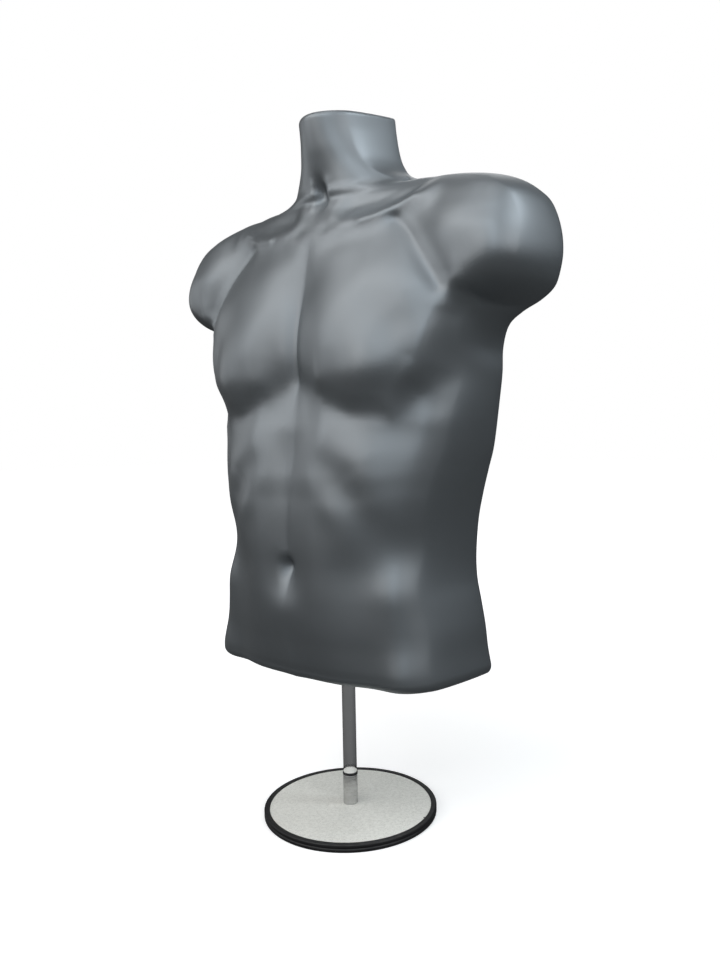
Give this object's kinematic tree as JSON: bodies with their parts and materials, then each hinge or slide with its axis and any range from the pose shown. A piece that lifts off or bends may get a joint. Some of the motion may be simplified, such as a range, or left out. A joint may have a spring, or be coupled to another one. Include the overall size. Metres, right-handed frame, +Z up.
{
  "type": "male torso display form",
  "caption": "Hollow-back male torso form, neck to hip with upper-arm stubs, turning on a height-adjustable chromed pole over a round rubber-edged base.",
  "frame": {"origin": "on the floor, at the pole's axis and the centre of the base's underside", "axes": "+Z up along the pole, -Y is the way the form faces, +X is the form's own left side"},
  "size_m": [0.496, 0.2032, 0.794],
  "materials": {
    "form_plastic": "satin moulded plastic",
    "powder_coat": "speckled textured powder coat",
    "rubber_edge": "moulded rubber",
    "chrome_tube": "bright chrome plate",
    "zinc_steel": "satin zinc plate",
    "black_plastic": "moulded black plastic",
    "grey_abs": "moulded grey plastic",
    "nylon": "natural nylon"
  },
  "bodies": {
    "base": {"base_disc": "powder_coat", "base_trim": "rubber_edge", "base_washer": "zinc_steel", "base_bolt": "zinc_steel", "post_stub": "zinc_steel", "joint_stud": "zinc_steel", "joint_ring": "rubber_edge", "pole_insert": "zinc_steel", "lower_pole": "chrome_tube", "guide_bush": "nylon", "height_collar": "black_plastic", "collar_grub_screw": "zinc_steel"},
    "clamp": {"clamp_screw": "zinc_steel"},
    "knob": {"thumb_knob": "black_plastic"},
    "rod": {"inner_rod": "chrome_tube", "rod_foot": "nylon"},
    "swivel": {"rod_cap": "nylon", "thrust_washer": "black_plastic"},
    "form": {"torso_shell": "form_plastic", "neck_bridge": "grey_abs", "neck_socket": "grey_abs", "socket_screws": "zinc_steel", "bar_blocks": "grey_abs", "waist_bar": "zinc_steel", "bar_screws": "zinc_steel", "bar_washers": "zinc_steel", "guide_ring": "grey_abs", "guide_screws": "zinc_steel"}
  },
  "joints": [
    {"name": "height_slide", "type": "slide", "parent": "base", "child": "rod", "axis": [0, 0, 1], "range_m": [0, 0.12]},
    {"name": "form_turn", "type": "hinge", "parent": "rod", "child": "swivel", "pos_m": [0, 0, 0.7], "axis": [0, 0, 1], "continuous": true},
    {"name": "form_lift", "type": "slide", "parent": "swivel", "child": "form", "axis": [0, 0, 1], "range_m": [0, 0.47]},
    {"name": "screw_travel", "type": "slide", "parent": "base", "child": "clamp", "axis": [0, 1, 0], "range_m": [0, 0.002]},
    {"name": "knob_turn", "type": "hinge", "parent": "clamp", "child": "knob", "pos_m": [0, 0.024, 0.263], "axis": [0, 1, 0], "range_deg": [0, 720]}
  ],
  "couplings": [
    {"joint": "screw_travel", "follows": "knob_turn", "m_per_rad": 0.00015915}
  ]
}
